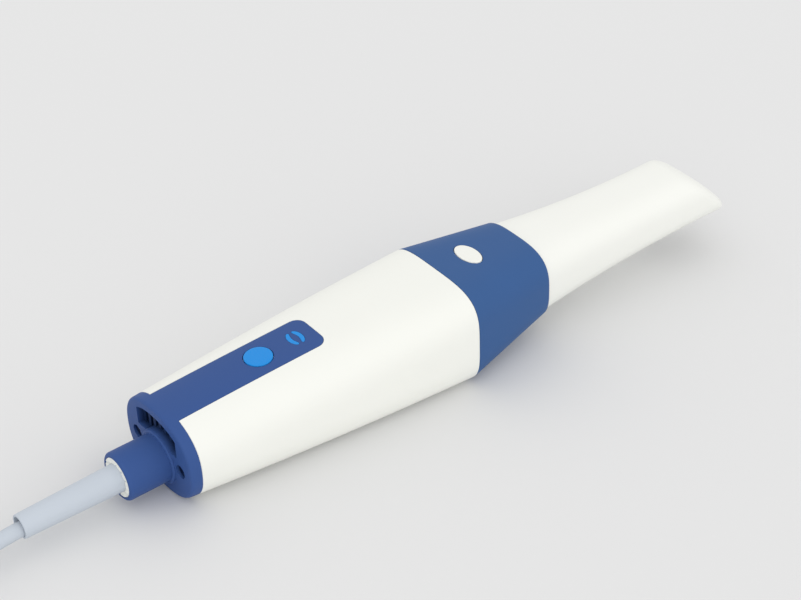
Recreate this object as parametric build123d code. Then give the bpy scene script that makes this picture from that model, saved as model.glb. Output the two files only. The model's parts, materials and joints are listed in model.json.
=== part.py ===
from build123d import *
import math
import os

# A wired hand-held scanner for teeth. It is modelled along its own axis, with the rear face at X = 0,
# +X to the tip and +Z through the keys, and laid on its flat belly at the end. Sizes are in millimetres.

# Handle: three oval sections; the squareness is the exponent of the oval, 2 for an ellipse, more for a box
handle_length = 97.6
rear_width = 33.2
rear_height = 27.0
rear_rise = 0.5
rear_squareness = 2.35
middle_width = 38.6
middle_height = 30.9
middle_rise = -0.3
middle_squareness = 3.0
front_width = 41.5
front_height = 33.1
front_rise = -1.0
front_squareness = 3.8
shell_wall = 2.4
belly_flat = 0.35

# Front collar, from the handle's front to the nose
collar_length = 31.5
nose_width = 31.4
nose_height = 25.2
nose_rise = 0.7
nose_squareness = 3.1
collar_lip = 5.0
lip_wall = 1.3
collar_front_wall = 3.0

# Scan tip, from the collar to its front edge
tip_length = 80.9
tip_step = 0.7
waist_width = 24.0
waist_height = 19.3
waist_rise = 0.05
waist_squareness = 3.3
end_width = 24.6
end_height = 19.2
end_rise = 0.25
end_squareness = 4.4
tip_wall = 1.6
tip_slant = 15.1
tip_edge = 1.2
tip_end_wall = 1.8
tip_window_length = 16.0
tip_window_width = 15.0
tip_window_setback = 7.5
tip_window_corner = 2.5
mirror_thickness = 1.2
mirror_width = 13.6
mirror_height = 13.0

# Rear cap
flange_thickness = 3.4
flange_edge = 0.8
strip_width = 14.4
strip_end = 53.5
strip_corner = 3.2
strip_depth = 1.3
boss_diameter = 14.6
boss_length = 13.7
boss_rise = -2.4
boss_edge = 1.0
boss_foot_diameter = 16.4
boss_foot_height = 0.7
boss_foot_edge = 0.6
vent_border = 2.6
vent_width = 19.6
vent_floor = 3.4
vent_depth = 2.0
vent_count = 7
vent_pitch = 2.65
vent_slot = 1.5
cap_screw_spacing = 22.0
cap_screw_rise = -0.6
cap_screw_seat = 4.2
cap_screw_seat_depth = 2.4
cap_screw_head = 3.8
cap_screw_head_height = 1.6
cap_screw_diameter = 2.0
cap_screw_length = 8.0
cap_screw_socket = 1.5
pillar_diameter = 5.0
pillar_length = 9.0
pillar_web_width = 8.3
pillar_web_thickness = 2.5

# Cable gland, strain relief and cable
gland_diameter = 12.0
gland_length = 5.5
gland_recess = 0.1
gland_notches = 10
gland_notch_depth = 0.9
relief_diameter = 8.4
relief_end_diameter = 7.2
relief_length = 30.2
relief_root = 9.5
relief_mouth_diameter = 5.8
relief_mouth_depth = 10.0
relief_edge = 0.3
cable_diameter = 4.4
cable_first_run = 10.0
cable_swing_distance = 31.0
cable_swing = 8.0
cable_touch_distance = 48.0
cable_touch_rise = 1.4
hank_columns = 3
hank_layers = 4
hank_pitch = 1.03
hank_run = 23.0
hank_gap = 30.0
hank_side = 14.0
fold_radius = 19.2
tail_step = 35.0
bend_share = 0.45
lead_diameter = 3.6

# Keys
mode_button_x = 34.6
mode_button_diameter = 8.4
status_light_x = 47.3
status_light_width = 6.2
status_light_length = 2.6
scan_button_back = 12.7
scan_button_width = 10.0
scan_button_length = 6.5
key_proud = 0.25
key_travel = 0.6
key_gap = 0.25
key_rim = 0.8
key_rim_thickness = 0.8
switch_side = 4.5
switch_height = 1.4
switch_edge = 0.3
plunger_diameter = 2.2
plunger_height = 0.6

# Boards
board_thickness = 1.6
main_board_start = 16.0
main_board_front_gap = 2.6
main_board_width = 22.0
main_board_top = -7.0
main_post_spread = 16.0
main_post_inset = 7.0
post_diameter = 4.2
board_screw_diameter = 1.6
board_screw_head = 3.0
board_screw_head_height = 1.1
board_screw_socket = 1.0
board_screw_bite = 2.2
key_board_start = 27.0
key_board_length = 27.0
key_board_width = 19.0
key_post_inset = 3.2
processor_side = 14.0
processor_height = 1.5
processor_x = 55.0
heat_sink_side = 19.0
heat_sink_base = 1.5
heat_sink_height = 6.5
heat_sink_fins = 7
heat_sink_fin = 0.9
memory_length = 8.0
memory_width = 6.0
memory_height = 1.0
memory_spread = 9.0
ribbon_width = 10.0
ribbon_thickness = 0.3
ribbon_bend = 0.9
ribbon_flat_share = 0.35
ribbon_socket_setback = 3.5
ribbon_socket_length = 4.0
ribbon_socket_wall = 1.0
ribbon_socket_height = 2.0
connector_setback = 1.0
connector_length = 5.0
connector_width = 8.0
connector_height = 4.4
connector_edge = 0.5

# Blower behind the vent
fan_x = 17.0
fan_side = 17.0
fan_corner = 2.1
fan_outlet_width = 8.5
fan_outlet_shift = 2.1
fan_height = 4.4
fan_floor = 1.0
fan_wall = 0.8
fan_bottom = 2.4
rotor_diameter = 12.6
rotor_height = 2.6
rotor_hub = 5.6
rotor_blades = 11
rotor_blade = 0.5
rotor_disc = 0.5
fan_pin = 1.6
fan_pin_foot = 3.2
rotor_sweep = 40.0
fan_leg = 2.4
fan_leg_x = 1.0
fan_leg_y = 7.0

# Nose and optics
nose_length = 22.0
nose_slot_width = 19.2
nose_slot_height = 10.0
nose_slot_corner = 2.5
nose_glass = 1.2
nose_ledge = 0.6
nose_seal_start = 2.4
nose_seal_width = 1.6
nose_seal_depth = 0.9
optics_length = 18.0
optics_width = 12.6
optics_bottom = -6.5
optics_plate = 3.0
optics_screw_y = 8.2
optics_screw_z = 6.4
optics_screw_bite = 4.0
optics_wall = 1.5
camera_offset = 6.4
camera_diameter = 5.6
projector_diameter = 6.4
barrel_reach = 16.0
barrel_step = 9.6
lens_bulge = 0.6
lens_step = 0.6
lens_seat_wall = 0.9
lens_seat_depth = 0.6
sensor_board_width = 18.0
sensor_board_height = 12.0
light_source_side = 8.0
light_source_length = 5.0
light_source_edge = 1.0

# Plug at the far end of the cable
plug_length = 24.0
plug_width = 15.0
plug_height = 8.0
plug_shell_length = 12.0
plug_shell_width = 12.0
plug_shell_height = 4.5
plug_sheet = 0.4
plug_corner = 2.0
plug_edge = 1.0
plug_window = 2.2
plug_window_x = 2.0
plug_window_y = 3.0
tie_width = 14.0
tie_thickness = 0.8

# Clearances
seat_clearance = 0.1
slide_clearance = 0.12
seam_gap = 0.2
bearing_clearance = 0.05

# Points round an oval, the reach of cutting blocks and what a cut runs past a face
oval_points = 24
reach = 400.0
overcut = 1.0


def parabola(x, stations, values):
    """Value at x of the parabola through three stations."""
    total = 0.0
    for i in range(3):
        weight = 1.0
        for j in range(3):
            if j != i:
                weight *= (x - stations[j]) / (stations[i] - stations[j])
        total += weight * values[i]
    return total


def signed_power(value, power):
    return math.copysign(abs(value) ** power, value)


def oval(x, width, height, rise, squareness, inset):
    """Closed oval section square to the axis at station x, inset all round."""
    points = []
    for i in range(oval_points):
        turn = 2 * math.pi * i / oval_points
        y = (width / 2 - inset) * signed_power(math.cos(turn), 2 / squareness)
        z = (height / 2 - inset) * signed_power(math.sin(turn), 2 / squareness)
        points.append((x, y, z + rise))
    return Face(Wire([Spline(*points, periodic=True)]))


def handle_values(x):
    stations = (0.0, handle_length / 2, handle_length)
    width = parabola(x, stations, (rear_width, middle_width, front_width))
    height = parabola(x, stations, (rear_height, middle_height, front_height))
    rise = parabola(x, stations, (rear_rise, middle_rise, front_rise))
    squareness = parabola(x, stations, (rear_squareness, middle_squareness, front_squareness))
    return width, height, rise, squareness


def collar_values(x):
    share = (x - handle_length) / collar_length
    width = front_width + share * (nose_width - front_width)
    height = front_height + share * (nose_height - front_height)
    rise = front_rise + share * (nose_rise - front_rise)
    squareness = front_squareness + share * (nose_squareness - front_squareness)
    return width, height, rise, squareness


collar_front = handle_length + collar_length
tip_front = collar_front + tip_length


def tip_values(x):
    stations = (collar_front, collar_front + tip_length / 2, tip_front)
    width = parabola(x, stations, (nose_width - 2 * tip_step, waist_width, end_width))
    height = parabola(x, stations, (nose_height - 2 * tip_step, waist_height, end_height))
    rise = parabola(x, stations, (nose_rise, waist_rise, end_rise))
    squareness = parabola(x, stations, (nose_squareness, waist_squareness, end_squareness))
    return width, height, rise, squareness


def top_height(values, inset, y):
    """Height of a section's top at a distance y from the middle plane."""
    width, height, rise, squareness = values
    share = min(1.0, abs(y) / (width / 2 - inset))
    return rise + (height / 2 - inset) * (1 - share**squareness) ** (1 / squareness)


def body_along(values, start, end, inset=0.0):
    """Solid through three sections of one member between two stations."""
    stations = (start, (start + end) / 2, end)
    return loft([oval(x, *values(x), inset) for x in stations])


def slab(start, end):
    """Everything between two stations of the axis."""
    return Pos((start + end) / 2, 0, 0) * Box(end - start, reach, reach)


def rod(start, end, diameter, y=0.0, z=0.0):
    """Round bar along the axis between two stations."""
    return Pos((start + end) / 2, y, z) * Rot(0, 90, 0) * Cylinder(diameter / 2, end - start)


def post(x, y, low, high, diameter):
    """Round upright between two heights."""
    return Pos(x, y, (low + high) / 2) * Cylinder(diameter / 2, high - low)


def block(x0, x1, width, low, high, y=0.0):
    """Box between two stations and two heights."""
    return Pos((x0 + x1) / 2, y, (low + high) / 2) * Box(x1 - x0, width, high - low)


def rounded_bar(start, end, width, height, rise, corner):
    """Bar of rounded rectangular section along the axis."""
    square_to_axis = Plane((start, 0, rise), x_dir=(0, 1, 0), z_dir=(1, 0, 0))
    return extrude(square_to_axis * RectangleRounded(width, height, corner), end - start)


def upright_slot(x, width, length, low, high):
    """Upright bar of oval outline, its long side across the axis."""
    outline = Pos(x, 0, low) * Rot(0, 0, 90) * SlotOverall(width, length)
    return extrude(outline, high - low)


def screw(head, head_height, diameter, length, socket):
    """Socket screw along +Z, its head's underside at the origin and its shank below."""
    body = Pos(0, 0, head_height / 2) * Cylinder(head / 2, head_height)
    body += Pos(0, 0, -length / 2) * Cylinder(diameter / 2, length)
    key = Pos(0, 0, head_height / 2) * extrude(RegularPolygon(socket / 2, 6), head_height)
    return body - key


def board_screw(length):
    """Small screw of the boards and of the optics."""
    return screw(board_screw_head, board_screw_head_height, board_screw_diameter, length, board_screw_socket)


# The belly is a plane through the lowest points of the rear and front sections, raised by the flat
rear_floor = rear_rise - rear_height / 2 + belly_flat
front_floor = front_rise - front_height / 2 + belly_flat
lie_angle = math.degrees(math.atan2(rear_floor - front_floor, handle_length))
belly_plane = Location((0, 0, rear_floor), (0, lie_angle, 0))
below_belly = belly_plane * Pos(0, 0, -reach / 2) * Box(reach, reach, reach)

parts = {}

# Rear cap: flange, tongue, boss, vent and screw seats
handle_solid = body_along(handle_values, 0, handle_length)
handle_core = body_along(handle_values, -overcut, handle_length + overcut, shell_wall)
strip_base = body_along(handle_values, 0, handle_length, strip_depth)


def strip_prism(margin):
    """Upright prism of the tongue's outline, grown by a margin at its sides and its front."""
    length = strip_end + margin
    outline = Pos(length / 2, 0, 0) * Rectangle(length, strip_width + 2 * margin)
    corners = outline.vertices().group_by(Axis.X)[-1]
    return extrude(fillet(corners, strip_corner + margin), reach)


flange = handle_solid & slab(0, flange_thickness)
flange = fillet(flange.faces().sort_by(Axis.X)[0].outer_wire().edges(), flange_edge)
tongue = (handle_solid - strip_base) & strip_prism(0) & slab(flange_thickness / 2, reach)
boss = rod(-boss_length, flange_thickness / 2, boss_diameter, z=boss_rise)
boss = fillet(boss.edges().group_by(Axis.X)[0], boss_edge)
foot = rod(-boss_foot_height, flange_thickness / 2, boss_foot_diameter, z=boss_rise)
foot = fillet(foot.edges().group_by(Axis.X)[0], boss_foot_edge)
rear_cap = flange + tongue + boss + foot

vent_outline = extrude(oval(0, *handle_values(0), vent_border), flange_thickness, dir=(1, 0, 0))
vent_outline &= block(0, flange_thickness, vent_width, vent_floor, reach)
vent_outline -= rod(-overcut, flange_thickness + overcut, boss_foot_diameter + 2 * seam_gap, z=boss_rise)
rear_cap -= vent_outline & slab(0, vent_depth)
for i in range(vent_count):
    y = (i - (vent_count - 1) / 2) * vent_pitch
    rear_cap -= vent_outline & (Pos(0, y, 0) * Box(reach, vent_slot, reach))

socket_end = -boss_length + gland_recess + gland_length
relief_inner = socket_end + relief_root - gland_length
boss_mouth = -boss_length - overcut
flange_inside = flange_thickness + overcut
rear_cap -= rod(boss_mouth, socket_end, gland_diameter, z=boss_rise)
rear_cap -= rod(boss_mouth, relief_inner, relief_diameter + 2 * seat_clearance, z=boss_rise)
rear_cap -= rod(boss_mouth, flange_inside, lead_diameter + 2 * seam_gap, z=boss_rise)

cap_screw = screw(
    cap_screw_head, cap_screw_head_height, cap_screw_diameter, cap_screw_length, cap_screw_socket
)
cap_screws = []
for side in (-1, 1):
    y = side * cap_screw_spacing / 2
    rear_cap -= rod(-overcut, cap_screw_seat_depth, cap_screw_seat, y, cap_screw_rise)
    rear_cap -= rod(-overcut, flange_inside, cap_screw_diameter + 2 * seat_clearance, y, cap_screw_rise)
    cap_screws.append(Location((cap_screw_seat_depth, y, cap_screw_rise), (0, -90, 0)) * cap_screw)
parts["rear_cap_screws"] = Compound(cap_screws)

# Keys: the mode key in the tongue and the light beside it
key_hole = mode_button_diameter + 2 * key_gap
light_margin = 2 * seat_clearance
light_hole = upright_slot(
    status_light_x, status_light_width + light_margin, status_light_length + light_margin, 0, reach
)
rear_cap -= post(mode_button_x, 0, 0, reach, key_hole)
rear_cap -= light_hole
parts["rear_cap"] = rear_cap - below_belly

key_rim_radius = mode_button_diameter / 2 + key_rim
mode_seat = top_height(handle_values(mode_button_x - key_rim_radius), shell_wall, key_rim_radius) - seam_gap
mode_proud = body_along(handle_values, 0, handle_length, -key_proud)
mode_low = mode_seat - key_rim_thickness
mode_button = mode_proud & post(mode_button_x, 0, mode_low, reach, mode_button_diameter)
mode_button = fillet(mode_button.edges().sort_by(Axis.Z)[-1], key_proud)
mode_button += post(mode_button_x, 0, mode_low, mode_seat, 2 * key_rim_radius)
parts["mode_button"] = mode_button


def tact_switch(x, board_top):
    """Low push switch on a board: square case with a round plunger."""
    case_top = board_top + switch_height
    case = block(x - switch_side / 2, x + switch_side / 2, switch_side, board_top, case_top)
    case = chamfer(case.edges().group_by(Axis.Z)[-1], switch_edge)
    return case + post(x, 0, board_top + switch_height / 2, case_top + plunger_height, plunger_diameter)


switch_drop = key_rim_thickness + key_travel + bearing_clearance + plunger_height + switch_height
key_board_top = mode_seat - switch_drop
parts["mode_switch"] = tact_switch(mode_button_x, key_board_top)
light = upright_slot(status_light_x, status_light_width, status_light_length, key_board_top, reach)
parts["status_light"] = light & handle_solid

# Handle shell: hollow loft with the tongue's bed, screw pillars and posts for the boards
shell = (handle_solid - handle_core) & slab(flange_thickness, handle_length)
strip_bed = handle_solid - body_along(handle_values, 0, handle_length, strip_depth + seat_clearance)
shell -= strip_bed & strip_prism(seat_clearance)
shell -= post(mode_button_x, 0, 0, reach, key_hole)
shell -= light_hole

main_board_end = handle_length - collar_lip - main_board_front_gap
main_board_low = main_board_top - board_thickness
main_posts = []
for x in (main_board_start + main_post_inset, main_board_end - main_post_inset):
    for side in (-1, 1):
        main_posts.append((x, side * main_post_spread / 2))
key_board_low = key_board_top - board_thickness
key_board_end = key_board_start + key_board_length
key_posts = []
for x in (key_board_start + key_post_inset, key_board_end - key_post_inset):
    for side in (-1, 1):
        key_posts.append((x, side * (key_board_width / 2 - key_post_inset)))

ribs = []
for side in (-1, 1):
    y = side * cap_screw_spacing / 2
    pillar = rod(flange_thickness, flange_thickness + pillar_length, pillar_diameter, y, cap_screw_rise)
    web = Box(pillar_length, pillar_web_width, pillar_web_thickness)
    web_y = y + side * pillar_web_width / 2
    pillar += Pos(flange_thickness + pillar_length / 2, web_y, cap_screw_rise) * web
    ribs.append(pillar - rod(0, reach, cap_screw_diameter + bearing_clearance, y, cap_screw_rise))
for x, y in main_posts:
    hole = post(x, y, main_board_low - board_screw_bite, 0, board_screw_diameter + bearing_clearance)
    ribs.append(post(x, y, -reach / 2, main_board_low, post_diameter) - hole)
for x, y in key_posts:
    hole = post(x, y, 0, key_board_top + board_screw_bite, board_screw_diameter + bearing_clearance)
    ribs.append(post(x, y, key_board_top, reach / 2, post_diameter) - hole)
rib_depth = (strip_depth + seat_clearance + shell_wall) / 2
rib_skin = body_along(handle_values, 0, handle_length, rib_depth)
for rib in ribs:
    shell += rib & rib_skin
parts["handle_shell"] = shell - below_belly

# Front collar: tapered ring with a lip that sits in the handle and a front wall that carries the optics
collar_wall = shell_wall + seat_clearance + lip_wall
inside_front = collar_front - collar_front_wall
collar = body_along(collar_values, handle_length, collar_front)
lip_start = handle_length - collar_lip
collar += body_along(handle_values, lip_start, handle_length + lip_wall, shell_wall + seat_clearance)
collar -= body_along(handle_values, lip_start - overcut, handle_length, collar_wall)
collar -= body_along(collar_values, handle_length, inside_front, collar_wall)
nose_front = collar_front + nose_length
nose_slot = rounded_bar(
    inside_front - overcut,
    nose_front + overcut,
    nose_slot_width,
    nose_slot_height,
    nose_rise,
    nose_slot_corner,
)
collar -= nose_slot

# Scan key in the collar's sloping top
scan_x = handle_length + scan_button_back
scan_top = top_height(collar_values(scan_x), 0, 0)
collar_drop = front_rise + front_height / 2 - nose_rise - nose_height / 2
collar_slope = math.degrees(math.atan2(collar_drop, collar_length))
scan_place = Location((scan_x, 0, scan_top), (0, collar_slope, 0))
scan_reach = scan_button_width / 2 + key_rim
scan_seat = top_height(collar_values(scan_x), collar_wall, scan_reach) - scan_top - seam_gap


def scan_oval(margin, low, high):
    """Bar of the scan key's oval outline, square to the collar's top."""
    outline = Ellipse(scan_button_length / 2 + margin, scan_button_width / 2 + margin)
    return scan_place * Pos(0, 0, low) * extrude(outline, high - low)


collar -= scan_oval(key_gap, scan_seat - collar_wall, collar_wall)
scan_button = scan_oval(0, scan_seat - key_rim_thickness, collar_wall)
scan_button &= body_along(collar_values, handle_length, collar_front, -key_proud)
scan_button = fillet(scan_button.edges().sort_by(Axis.Z)[-1], key_proud)
scan_button += scan_oval(key_rim, scan_seat - key_rim_thickness, scan_seat)
parts["scan_button"] = scan_button

scan_board_top = scan_top + scan_seat - switch_drop - seam_gap
optics_top = scan_board_top - board_thickness
parts["scan_switch"] = tact_switch(scan_x, scan_board_top)
parts["scan_board"] = block(
    scan_x - switch_side, scan_x + switch_side, optics_width, optics_top, scan_board_top
)

# Optics: carrier, its screws, two cameras and the projector between them
plate_back = inside_front - optics_plate
optics_back = plate_back - optics_length
optics = body_along(collar_values, plate_back, inside_front, collar_wall + seat_clearance)
optics += block(optics_back, plate_back, optics_width, optics_bottom, optics_top)
optics -= block(
    optics_back + optics_wall,
    plate_back - optics_wall,
    optics_width - 2 * optics_wall,
    optics_bottom - overcut,
    optics_top - optics_wall,
)
nose = body_along(tip_values, collar_front, nose_front, tip_wall + slide_clearance) - nose_slot
glass_seat = nose_front - nose_glass


def glass_bar(end, margin):
    """Bar of the window's outline in the mouth of the nose, less a margin all round."""
    width = nose_slot_width + 2 * (nose_ledge - margin)
    height = nose_slot_height + 2 * (nose_ledge - margin)
    return rounded_bar(glass_seat, end, width, height, nose_rise, nose_slot_corner - margin)


nose -= glass_bar(nose_front + overcut, 0)
parts["nose_window"] = glass_bar(nose_front, seat_clearance)

seal_start = collar_front + nose_seal_start
seal_floor = tip_wall + slide_clearance + nose_seal_depth
seal_end = seal_start + nose_seal_width
groove = slab(seal_start, seal_end) - body_along(tip_values, collar_front, nose_front, seal_floor)
nose -= groove
seal = groove & slab(seal_start + bearing_clearance, seal_end - bearing_clearance)
parts["nose_seal"] = seal & body_along(tip_values, collar_front, nose_front, tip_wall + bearing_clearance)

optics_screw_length = optics_plate + collar_front_wall + optics_screw_bite
optics_screws = []
for side in (-1, 1):
    for level in (-1, 1):
        y = side * optics_screw_y
        z = nose_rise + level * optics_screw_z
        hole_end = plate_back + optics_screw_length + seam_gap
        hole = rod(plate_back - overcut, hole_end, board_screw_diameter + bearing_clearance, y, z)
        optics -= hole
        collar -= hole
        nose -= hole
        optics_screws.append(Location((plate_back, y, z), (0, -90, 0)) * board_screw(optics_screw_length))
parts["optics_screws"] = Compound(optics_screws)
parts["optics_housing"] = optics
parts["front_collar"] = collar - below_belly
parts["nose_barrel"] = nose

barrel_front = inside_front + barrel_reach


def lens_barrel(diameter, y):
    """Stepped lens tube with a seat for its glass at the front."""
    step = inside_front + barrel_step
    tube = rod(inside_front, step, diameter, y, nose_rise)
    tube += rod(step, barrel_front, diameter - lens_step, y, nose_rise)
    seat = diameter - 2 * lens_seat_wall
    return tube - rod(barrel_front - lens_seat_depth, barrel_front + overcut, seat, y, nose_rise)


def lens_glass(diameter, y):
    """Lens with a bulging front in the tube's seat."""
    glass_radius = diameter / 2 - lens_seat_wall - bearing_clearance
    ball = (glass_radius**2 + lens_bulge**2) / (2 * lens_bulge)
    front = barrel_front + lens_bulge - lens_seat_depth / 2
    glass = rod(barrel_front - lens_seat_depth, front, 2 * glass_radius, y, nose_rise)
    return glass & Pos(front - ball, y, nose_rise) * Sphere(ball)


camera_places = (-camera_offset, camera_offset)
parts["camera_barrels"] = Compound([lens_barrel(camera_diameter, y) for y in camera_places])
parts["camera_glasses"] = Compound([lens_glass(camera_diameter, y) for y in camera_places])
parts["projector_barrel"] = lens_barrel(projector_diameter, 0)
parts["projector_glass"] = lens_glass(projector_diameter, 0)
optics_middle = (optics_bottom + optics_top) / 2
sensor_low = optics_middle - sensor_board_height / 2
sensor_high = sensor_low + sensor_board_height
sensor_back = optics_back - board_thickness
parts["sensor_board"] = block(sensor_back, optics_back, sensor_board_width, sensor_low, sensor_high)
light_source = block(
    sensor_back - light_source_length,
    sensor_back,
    light_source_side,
    optics_middle - light_source_side / 2,
    optics_middle + light_source_side / 2,
)
parts["light_source"] = chamfer(light_source.edges().group_by(Axis.X)[0], light_source_edge)

# Main board with its chips, sink, sockets and screws
main_board = block(main_board_start, main_board_end, main_board_width, main_board_low, main_board_top)
main_screws = []
for x, y in main_posts:
    main_board -= post(x, y, main_board_low - overcut, 0, board_screw_diameter + 2 * seat_clearance)
    main_screws.append(Pos(x, y, main_board_top) * board_screw(board_thickness + board_screw_bite))
parts["main_board"] = main_board
parts["main_board_screws"] = Compound(main_screws)

half_chip = processor_side / 2
processor_top = main_board_top + processor_height
parts["processor"] = block(
    processor_x - half_chip, processor_x + half_chip, processor_side, main_board_top, processor_top
)
sink_start = processor_x - heat_sink_side / 2
sink_end = sink_start + heat_sink_side
sink = block(sink_start, sink_end, heat_sink_side, processor_top, processor_top + heat_sink_base)
fin_pitch = (heat_sink_side - heat_sink_fin) / (heat_sink_fins - 1)
for i in range(heat_sink_fins):
    y = (i - (heat_sink_fins - 1) / 2) * fin_pitch
    sink += block(sink_start, sink_end, heat_sink_fin, processor_top, processor_top + heat_sink_height, y)
parts["heat_sink"] = sink
memory_end = sink_start - memory_length / 2
memory_start = memory_end - memory_length
memory_top = main_board_top + memory_height
chips = []
for side in (-1, 1):
    y = side * memory_spread / 2
    chips.append(block(memory_start, memory_end, memory_width, main_board_top, memory_top, y))
parts["memory_chips"] = Compound(chips)

socket_end_x = main_board_end - ribbon_socket_setback
socket_start_x = socket_end_x - ribbon_socket_length
socket_width = ribbon_width + 2 * ribbon_socket_wall
socket_top = main_board_top + ribbon_socket_height
parts["ribbon_socket"] = block(socket_start_x, socket_end_x, socket_width, main_board_top, socket_top)
ribbon_low = main_board_top + ribbon_socket_height / 2
ribbon_high = sensor_low + ribbon_socket_height / 2
ribbon_run = sensor_back - socket_end_x
ribbon_path = FilletPolyline(
    (socket_end_x, 0, ribbon_low),
    (socket_end_x + ribbon_run * ribbon_flat_share, 0, ribbon_low),
    (sensor_back - ribbon_run * ribbon_flat_share, 0, ribbon_high),
    (sensor_back, 0, ribbon_high),
    radius=ribbon_bend,
)
ribbon_start = Plane(ribbon_path @ 0, x_dir=(0, 1, 0), z_dir=ribbon_path % 0)
parts["ribbon_cable"] = sweep(ribbon_start * Rectangle(ribbon_width, ribbon_thickness), ribbon_path)

connector_start = main_board_start + connector_setback
connector_mid = main_board_top + connector_height / 2
connector_end = connector_start + connector_length
connector_top = main_board_top + connector_height
connector = block(connector_start, connector_end, connector_width, main_board_top, connector_top)
parts["lead_connector"] = chamfer(connector.edges().group_by(Axis.Z)[-1], connector_edge)
lead_bend = (connector_start - flange_thickness) / 4
lead_path = FilletPolyline(
    (relief_inner, 0, boss_rise),
    (flange_thickness + lead_bend, 0, boss_rise),
    (connector_start - lead_bend, 0, connector_mid),
    (connector_start, 0, connector_mid),
    radius=lead_diameter,
)
lead_profile = Plane(lead_path @ 0, z_dir=lead_path % 0) * Circle(lead_diameter / 2)
parts["inner_lead"] = sweep(lead_profile, lead_path)

# Key board under the tongue, screwed to the posts of the shell
key_board = block(key_board_start, key_board_end, key_board_width, key_board_low, key_board_top)
key_screws = []
for x, y in key_posts:
    key_board -= post(x, y, 0, key_board_top + overcut, board_screw_diameter + 2 * seat_clearance)
    key_screws.append(
        Location((x, y, key_board_low), (180, 0, 0)) * board_screw(board_thickness + board_screw_bite)
    )
parts["key_board"] = key_board
parts["key_board_screws"] = Compound(key_screws)

# Blower: open well with an outlet to the vent, legs on the main board, and a bladed rotor on its pin
fan_well = rotor_diameter + 2 * fan_wall
well_floor = fan_bottom + fan_floor
fan_top = fan_bottom + fan_height
rotor_low = well_floor + seam_gap
fan = block(fan_x - fan_side / 2, fan_x + fan_side / 2, fan_side, fan_bottom, fan_top)
fan = fillet(fan.edges().filter_by(Axis.Z), fan_corner)
fan -= post(fan_x, 0, well_floor, fan_top + overcut, fan_well)
fan -= block(fan_x - fan_side, fan_x, fan_outlet_width, well_floor, fan_top - fan_wall, fan_outlet_shift)
fan += post(fan_x, 0, fan_bottom, rotor_low, fan_pin_foot)
fan += post(fan_x, 0, fan_bottom, rotor_low + rotor_height, fan_pin)
for side in (-1, 1):
    fan += post(fan_x + fan_leg_x, side * fan_leg_y, main_board_top, well_floor, fan_leg)
parts["fan_housing"] = fan
rotor = post(fan_x, 0, rotor_low, rotor_low + rotor_height, rotor_hub)
rotor += post(fan_x, 0, rotor_low, rotor_low + rotor_disc, rotor_diameter)
blade_length = (rotor_diameter - rotor_hub) / 2
for i in range(rotor_blades):
    blade = block(0, blade_length, rotor_blade, rotor_low, rotor_low + rotor_height)
    turned = Pos(fan_x, 0, 0) * Rot(0, 0, 360 * i / rotor_blades)
    rotor += turned * Pos(rotor_hub / 2, 0, 0) * Rot(0, 0, rotor_sweep) * blade
rotor &= post(fan_x, 0, rotor_low, rotor_low + rotor_height, rotor_diameter)
parts["fan_rotor"] = rotor - post(fan_x, 0, 0, reach, fan_pin + 2 * bearing_clearance)

# Scan tip: hollow tapered tube with a slanted end, a mirror behind the slant and a window below it
slant_angle = math.degrees(math.atan2(tip_slant, end_height))
slant_place = Location((tip_front - tip_slant / 2, 0, end_rise), (0, -slant_angle, 0))


def beyond_slant(setback):
    """Everything ahead of the slanted end, or of a plane set back from it."""
    return slant_place * Pos(reach / 2 - setback, 0, 0) * Box(reach, reach, reach)


tip = body_along(tip_values, collar_front + seam_gap, tip_front + overcut) - beyond_slant(0)
slant_face = tip.faces().filter_by(GeomType.PLANE).sort_by(Axis.X)[-1]
tip = fillet(slant_face.outer_wire().edges(), tip_edge)
tip -= body_along(tip_values, collar_front, tip_front, tip_wall) - beyond_slant(tip_end_wall)
window_front = tip_front - tip_window_setback
window_outline = Pos(window_front - tip_window_length / 2, 0, end_rise) * RectangleRounded(
    tip_window_length, tip_window_width, tip_window_corner
)
parts["scan_tip"] = tip - extrude(window_outline, -end_height)
mirror = Box(mirror_thickness, mirror_width, mirror_height)
parts["tip_mirror"] = slant_place * Pos(-tip_end_wall - mirror_thickness / 2, 0, 0) * mirror

# Strain relief and the notched ring that holds it in the boss
relief_end = -boss_length - relief_length
relief = rod(-boss_length, relief_inner, relief_diameter, z=boss_rise)
taper = Cone(relief_diameter / 2, relief_end_diameter / 2, relief_length)
relief += Pos(-boss_length - relief_length / 2, 0, boss_rise) * Rot(0, -90, 0) * taper
relief -= rod(relief_end - overcut, relief_end + relief_mouth_depth, relief_mouth_diameter, z=boss_rise)
parts["strain_relief"] = fillet(relief.edges().group_by(Axis.X)[0], relief_edge)

ring_start = -boss_length + gland_recess
ring_bore = relief_diameter + 2 * bearing_clearance
ring = rod(ring_start, socket_end, gland_diameter - 2 * bearing_clearance, z=boss_rise)
ring -= rod(ring_start - overcut, socket_end + overcut, ring_bore, z=boss_rise)
notch_side = gland_notch_depth * math.sqrt(2)
notch_radius = (gland_diameter + relief_diameter) / 4
notch = Box(notch_side, gland_diameter - relief_diameter, notch_side)
notch = Pos(0, notch_radius, 0) * Rot(0, 45, 0) * notch
for i in range(gland_notches):
    ring -= Pos(ring_start, 0, boss_rise) * Rot(360 * i / gland_notches, 0, 0) * notch
parts["gland_ring"] = ring

# The scanner lies on its belly, with the middle of its length at the origin
on_belly = Location((0, 0, 0), (0, -lie_angle, 0)) * Location((0, 0, -rear_floor))
for name in parts:
    parts[name] = on_belly * parts[name]
boxes = [shape.bounding_box() for shape in parts.values()]
middle_x = (min(box.min.X for box in boxes) + max(box.max.X for box in boxes)) / 2
to_origin = Pos(-middle_x, 0, 0)
for name in parts:
    parts[name] = to_origin * parts[name]
place_at_rest = to_origin * on_belly


def at_rest(x, y, z):
    """Point of the axis frame as it lies on the floor."""
    return (place_at_rest * Pos(x, y, z)).position


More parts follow.
